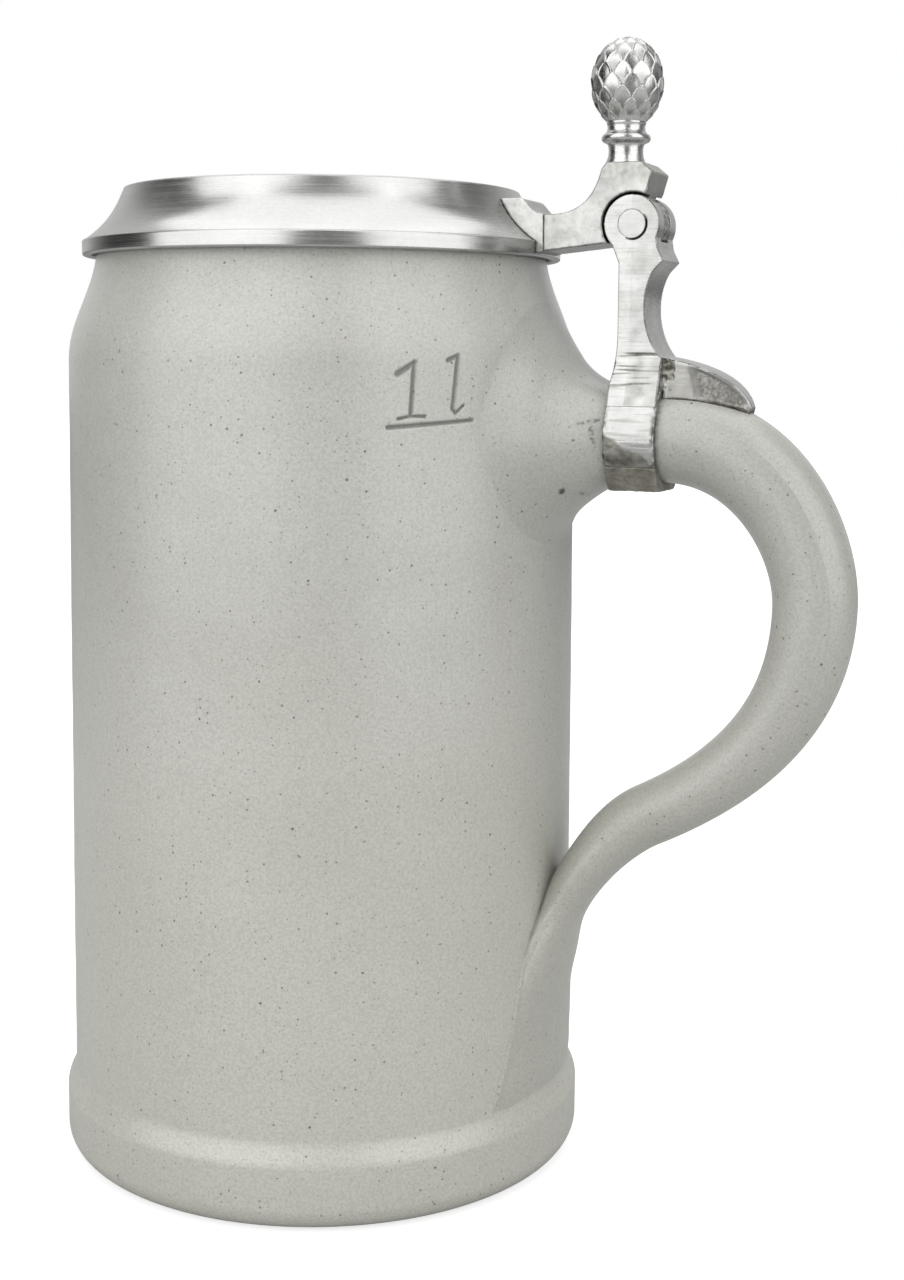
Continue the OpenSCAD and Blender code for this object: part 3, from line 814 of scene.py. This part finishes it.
def hinge_post():
    """Filed flat on its sides; its tongue is left as cast, with a sunk rough panel on each side."""
    ob = cast_copy("pewter_post", "hinge_post", 0.17 * MM, 8)
    v, n = coords(ob), normals(ob)
    x, z = v[:, 0], v[:, 2]
    sideways = np.abs(n[:, 1])

    # the tongue's panels, and a pitted spot where the tongue leaves the post
    tongue = smooth(76.2 * MM, 77.0 * MM, x)
    panel = inside_flats(v, (sideways > 0.8) & (tongue > 0), 0.35 * MM, 0.95 * MM) * tongue
    sunk = panel * smooth(79.5 * MM, 82.0 * MM, x - 0.25 * (172 * MM - z))
    rough_cast = wobble(v, 0.62 * MM, 2.0) + 0.9 * wobble(v, 0.30 * MM, 7.0)
    pitted = within(x, 75.6 * MM, 75.9 * MM, 77.6 * MM, 78.4 * MM)
    pitted *= smooth(165.5 * MM, 167 * MM, z) * (sideways > 0.5)
    move = -0.45 * MM * sunk + 0.045 * MM * rough_cast * tongue * (0.15 + sunk)
    move -= 0.45 * MM * pitted * patches(v, 0.9 * MM, 9.1, 0.5, 1)

    # file lines across the post, deepest on its foot
    lines = file_lines(v, 0.55 * MM, 1.5)
    faces = (sideways > 0.6) * (1 - tongue)
    foot = within(z, 164 * MM, 166 * MM, 171.5 * MM, 173 * MM) * (1 - tongue) * faces
    move += 0.012 * MM * lines * faces + 0.26 * MM * foot * np.minimum(0, lines + 0.05)
    v = v + n * move[:, None]

    # the open part of the gap round the pin's end
    from_pin = np.hypot(v[:, 0] - pin.x, v[:, 2] - pin.z)
    direction = np.arctan2(v[:, 2] - pin.z, v[:, 0] - pin.x)
    gap = 1 - smooth(0.12 * MM, 0.38 * MM, np.abs(from_pin - pin_r - 0.22 * MM))
    gap *= np.clip(np.cos(direction + math.radians(38)) * 2.2 - 0.5, 0, 1)
    gap *= np.abs(v[:, 1]) > post_half - 0.6 * MM
    v[:, 1] -= np.sign(v[:, 1]) * 0.45 * MM * gap
    set_coords(ob, v)

    # painted shade in the gap and along the edges; dirt in the panels, in the lines and where the tongue
    # meets the clay
    route = bezier(bow_upper, np.linspace(0, 0.8, 60))
    to_handle = np.min(np.hypot(v[:, :1] - route[:, 0], v[:, 2:] - route[:, 1]), axis=1)
    to_handle -= np.sqrt(np.maximum(handle_r ** 2 - v[:, 1] ** 2, 0))
    under = (1 - smooth(0.25 * MM, 0.75 * MM, to_handle)) * tongue
    by_post = (1 - smooth(77.0 * MM, 79.5 * MM, v[:, 0])) * tongue * patches(v, 0.8 * MM, 4.9, 0.25, 1)
    dark = np.maximum.reduce([
        gap, shaded_edges(v, n) * (v[:, 0] > pin.x),
        0.50 * sunk * np.clip(0.75 + 0.8 * rough_cast, 0, 1),
        0.8 * pitted * patches(v, 1.1 * MM, 3.3, 0.45, 1),
        0.75 * foot * smooth(0.05, 0.30, -lines), 0.95 * under, 0.5 * by_post])
    weather_and_shade(ob, dark, np.maximum(0.5 * panel, 0.8 * pitted))
    return piece(ob, "mug", "filed", "hinge_post")


def strap():
    """Filed across; below a slanting line its sides are covered with smeared solder."""
    ob = cast_copy("pewter_strap", "strap_band", 0.18 * MM, 3)
    v, n = coords(ob), normals(ob)
    x, y, z = v.T
    outer = np.hypot(y, z - root_z) > strap_hi.y - 0.5 * MM
    slant = 156.0 * MM - 0.55 * (x - strap_x0) + 0.5 * MM * wobble(v, 2 * MM, 1.0)
    solder = smooth(0.3 * MM, -0.5 * MM, z - slant)
    rim = 1 - smooth(0.2 * MM, 1.1 * MM, np.minimum(x - strap_x0, strap_x1 - x))
    lines = file_lines(v, 0.6 * MM, 5.5)
    lumps = wobble(v, 1.3 * MM, 6.6) + 0.5 * wobble(v, 0.6 * MM, 8.8)
    beads = patches(v, 0.8 * MM, 3.4, 0.15, 1) * rim * (x > strap_x1 - 2 * MM)
    move = outer * MM * (0.024 * lines * (1 - solder) + 0.13 * lumps * solder
                         + 0.10 * lumps * rim * (0.3 + solder) + 0.22 * beads)
    set_coords(ob, v + n * np.minimum(move, 0.16 * MM)[:, None])
    low_side = smooth(154 * MM, 149 * MM, z)
    dark = np.maximum.reduce([
        solder * (0.24 + 0.80 * patches(v, 2.2 * MM, 2.8, 0.35, 0.9) * (0.4 + 0.6 * low_side)),
        0.85 * rim * np.clip(0.4 + lumps, 0, 1), 0.28 * outer * smooth(0.15, 0.5, -lines)])
    weather_and_shade(ob, dark, 0.8 * solder)
    return piece(ob, "mug", "filed", "strap_band")


def hinge_pin():
    """The pin, its ends spread to fill the hole in the cheeks."""
    length, spread_r, edge = post_half, pin_r + 0.14 * MM, 0.12 * MM
    corner = np.array([spread_r - edge, length - edge])
    profile = np.concatenate([
        [[0.05 * MM, -length]], arc(corner * (1, -1), edge, -90, 0, 5), arc(corner, edge, 0, 90, 5),
        [[0.05 * MM, length]]])
    ob = revolve("pewter_pin", densify(profile, 0.5 * MM), 96)
    ob.data.transform(Matrix.Translation(pin) @ Matrix.Rotation(math.radians(90), 4, "X"))
    weather_and_shade(ob, 0, 0)
    return piece(ob, "mug", "filed", "hinge_pin")


def closure():
    """The lump of solder that closes the strap underneath."""
    ob = cast_copy("pewter_closure", "strap_closure", 0.2 * MM, 4)
    roughen(ob, 0.20 * MM, 1.4 * MM, 6.0)
    v = coords(ob)
    top = smooth(146.2 * MM, 149 * MM, v[:, 2])
    weather_and_shade(ob, 0.45 * top * patches(v, 1.6 * MM, 3.9, 0.4, 1), 0.4)
    return piece(ob, "mug", "solder", "strap_closure")


def tang():
    """Cast on to the lid's cove, with a dirty line where the two meet."""
    ob = cast_copy("pewter_tang", "lid_tang", 0.15 * MM, 3)
    roughen(ob, 0.05 * MM, 1.6 * MM, 7.0)
    v = coords(ob)
    off_lid = np.hypot(v[:, 0], v[:, 1]) - cove_radius(np.clip(lid_top - v[:, 2], 0, None))
    contact = 1 - smooth(0.15 * MM, 0.55 * MM, off_lid)
    seam = 1 - smooth(0.0, 0.28 * MM, seam_x - v[:, 0])
    dark = np.maximum(0.8 * contact, 0.6 * seam) * patches(v, 0.9 * MM, 1.2, 0.65, 0.6)
    weather_and_shade(ob, dark, 0.3 * contact)
    return piece(ob, "lid", "cast", "lid_tang")


def arm():
    """The lever, darker round the hinge, dirty at the casting seam and on the block under the cone, with
    painted shade along its rounded edges.
    """
    ob = cast_copy("pewter_arm", "lid_arm", 0.17 * MM, 8)
    roughen(ob, 0.05 * MM, 2.4 * MM, 9.0)
    v = coords(ob)
    from_pin = np.hypot(v[:, 0] - pin.x, v[:, 2] - pin.z)
    crevice = 1 - smooth(6.1 * MM, 6.7 * MM, from_pin)
    halo = (1 - smooth(6.1 * MM, 8.6 * MM, from_pin)) * patches(v, 1.3 * MM, 8.1, 0.3, 1.1)
    seam = 1 - smooth(0.0, 0.22 * MM, v[:, 0] - seam_x)
    joints = np.maximum(0.8 * crevice, 0.6 * seam) * patches(v, 0.8 * MM, 1.9, 0.4, 1.2)
    block = smooth(202 * MM, 206 * MM, v[:, 2]) * patches(v, 1.1 * MM, 3.6, 0.75, 0.9)
    dark = np.maximum.reduce([joints, 0.14 * block, 0.32 * halo, shaded_edges(v, normals(ob))])
    weather_and_shade(ob, dark, 0.4 * block)
    return piece(ob, "lid", "cast", "lid_arm")


def cone_outline(cone_r, middle_z):
    """The turned neck's outline and the head's, and the head's angles from its middle."""
    base, half = cone_lo.z, cone_hi.z - middle_z
    foot_curve = np.array([[3.7, 0.8], [3.3, 1.6], [3.3, 3], [3.6, 3.8]]) * MM + (0, base)
    top_curve = np.array([[3.9, 6], [3.6, 6.6], [3.6, 7.2], [3.9, 7.8]]) * MM + (0, base)
    neck = densify(np.concatenate([
        [[0.1 * MM, base], [4 * MM, base]],
        bezier(foot_curve, np.linspace(0, 1, 12)),
        arc((3.95 * MM, base + 4.9 * MM), 0.85 * MM, -75, 75, 14),
        bezier(top_curve, np.linspace(0, 1, 10))[1:]]), 0.4 * MM)
    e = np.radians(np.linspace(-58, 89, 260))
    return neck, np.stack([cone_r * np.cos(e), middle_z + half * np.sin(e)], -1), e


def scale_heights(a, v, count, rows):
    """Rows of pointed arches, each half a scale round from the last, the lowest lying outermost."""
    length = 2.0
    height = np.full(v.shape, -1.0)
    for i in range(-1, rows + 1):
        u = (a / (2 * np.pi) * count + 0.5 * (i % 2) + 0.5) % 1 - 0.5
        b = np.clip((v - i) / length, 0, 1)
        arch = 0.54 * (1 - b ** 2.6) ** 0.70
        inside = (np.abs(u) < arch) & (v >= i) & (v < i + length) & (height < 0)
        edge = 1 - np.abs(u) / np.maximum(arch, 1e-6)
        rim = np.exp(-(edge / 0.16) ** 2)
        dish = np.sqrt(np.clip(edge, 0, 1))
        height = np.where(inside, 0.20 + 0.55 * b + 0.30 * rim - 0.12 * dish, height)
    return np.where(height < 0, 0.3, height)


def scaled_cone():
    """A hop cone: pointed scales that overlap upwards, on a turned neck."""
    axis_x = (cone_lo.x + cone_hi.x) / 2
    neck, head, e = cone_outline((cone_hi.x - cone_lo.x) / 2 - 0.05 * MM, 223.4 * MM)
    profile = np.concatenate([neck, head])
    sides, count, rows, relief = 330, 11, 9, 0.50 * MM
    a = np.linspace(0, 2 * np.pi, sides, endpoint=False)
    r = np.repeat(profile[:, :1], sides, 1)
    z = np.repeat(profile[:, 1:], sides, 1)
    v = (np.linspace(0, 1, len(head)) * rows)[:, None] + 0 * a
    height = scale_heights(a, v, count, rows)
    fade = within(v, 0, 0.6, rows - 0.5, rows)
    move = relief * (height - 0.95) * fade
    on_head = slice(len(neck), len(profile))
    r[on_head] += move * np.cos(e)[:, None]
    z[on_head] += move * np.sin(e)[:, None]
    x, y = axis_x + r * np.cos(a), r * np.sin(a)
    ob = new_object("hop_cone", np.stack([x, y, z], -1).reshape(-1, 3), grid_faces(len(profile), sides))
    dark = np.zeros(r.shape)
    dark[on_head] = 0.45 * smooth(0.50, 0.25, height) * fade
    weather_and_shade(ob, dark.ravel(), 0)
    return piece(ob, "lid", "polished", "thumb_cone")


for make in (stoneware_body, stoneware_handle, pewter_lid, hinge_post, hinge_pin, strap, closure, tang,
             arm, scaled_cone):
    make()


# ---------------------------------------------------------------- studio
# The camera stands this far round from -Y towards the handle.
TURN = math.radians(26)
TO_CAMERA = Vector((math.sin(TURN), -math.cos(TURN), 0))
TO_RIGHT = Vector((math.cos(TURN), math.sin(TURN), 0))
UP = Vector((0, 0, 1))
CAMERA_DISTANCE, CAMERA_HEIGHT, CAMERA_LENS = 0.4041, 0.1703, 53.0
# degrees by which it looks to the right of the mug's axis, looks down and is tilted
CAMERA_YAW, CAMERA_PITCH, CAMERA_ROLL = 3.94, 8.52, 0.52

# what the camera sees of the background and of the floor near the mug
BACKGROUND, FLOOR_GLOW = 1.0, 0.70
FLOOR_RADIUS, FLOOR_GREY = 8.0, 0.48
# what the mug sees of the room: behind it, on the camera's side, and how much is left of that sideways
BACK, FRONT, LEFT, RIGHT = 0.72, 0.27, 0.10, 0.90
# the middle of the mug, and the lights by name: way from there, height above it, target above it,
# size, power
MIDDLE = Vector((0.02, 0, 0.12))
LIGHTS = (("soft_left", -50, 0.90, 0.50, 0.30, (1.30, 1.35), 10.7),
          ("soft_right", 45, 0.90, 0.50, 0.30, (1.00, 1.35), 7.6),
          ("soft_top", 180, 0.12, 1.05, 0.00, (1.30, 1.30), 9.0))


def area_light(name, around, reach, height, aim, size, power):
    """A soft box at some degrees round from the camera to its right, reach away from the middle."""
    data = bpy.data.lights.new(name, "AREA")
    data.shape = "RECTANGLE"
    data.size, data.size_y = size
    data.energy = power
    ob = add_object(name, data)
    a = math.radians(around)
    place = MIDDLE + (TO_CAMERA * math.cos(a) + TO_RIGHT * math.sin(a)) * reach + UP * height
    ob.location = place
    ob.rotation_euler = (MIDDLE + UP * aim - place).to_track_quat("-Z", "Y").to_euler()
    ob.visible_camera = False


def white_floor():
    """A pale floor that the camera sees as white, and as a little darker close to the mug."""
    bm = bmesh.new()
    bmesh.ops.create_circle(bm, cap_ends=True, segments=96, radius=FLOOR_RADIUS)
    floor = from_bmesh("floor", bm)
    n = material("pale_floor")
    glow = n.span(n.length(n.where), 0.5, 1.6, FLOOR_GLOW, 1.0)
    grain = n.bump(n.noise(300, 2), 0.05 * MM, 0.2)
    floor.data.materials.append(n.finish(
        (FLOOR_GREY, FLOOR_GREY, FLOOR_GREY, 1), 0.7, grain, Emission_Color=(1, 1, 1, 1),
        Emission_Strength=n.math("MULTIPLY", n.camera_ray(), glow)))


def room():
    """A white background for the camera; for the mug, a room that is dimmer in front and to the left."""
    world = bpy.data.worlds.new("studio")
    bpy.context.scene.world = world
    n = Nodes(world, "Generated")
    front, side = n.dot(n.where, TO_CAMERA), n.dot(n.where, TO_RIGHT)
    light = n.span(front, -0.75, -0.25, BACK, FRONT)
    light = n.math("MULTIPLY", light, n.span(side, -0.95, -0.45, LEFT, 1.0))
    light = n.math("MULTIPLY", light, n.span(side, 0.45, 0.95, 1.0, RIGHT))
    seen = n.camera_ray()
    light = n.math("MULTIPLY", light, n.math("SUBTRACT", 1.0, seen))
    shader = n.tree.nodes["Background"]
    n.put(shader.inputs["Strength"], n.math("ADD", light, n.math("MULTIPLY", seen, BACKGROUND)))
    shader.inputs["Color"].default_value = (1, 1, 1, 1)
    bpy.context.scene.view_settings.view_transform = "Standard"


def camera():
    """The camera stands a little above the mug's shoulder and looks slightly down."""
    yaw, pitch, roll = (math.radians(v) for v in (CAMERA_YAW, CAMERA_PITCH, CAMERA_ROLL))
    aim = (-TO_CAMERA) @ Matrix.Rotation(yaw, 3, "Z")
    side = aim.cross(UP)
    aim = aim * math.cos(pitch) - UP * math.sin(pitch)
    right = side * math.cos(roll) + side.cross(aim) * math.sin(roll)
    pose = Matrix((right, right.cross(aim), -aim)).transposed().to_4x4()
    pose.translation = TO_CAMERA * CAMERA_DISTANCE + UP * CAMERA_HEIGHT
    data = bpy.data.cameras.new("camera")
    data.sensor_fit = "AUTO"
    data.sensor_width = 36
    data.lens = CAMERA_LENS
    data.clip_start = 0.01
    ob = add_object("camera", data)
    ob.matrix_world = pose
    bpy.context.scene.camera = ob


white_floor()
room()
for light in LIGHTS:
    area_light(*light)
camera()
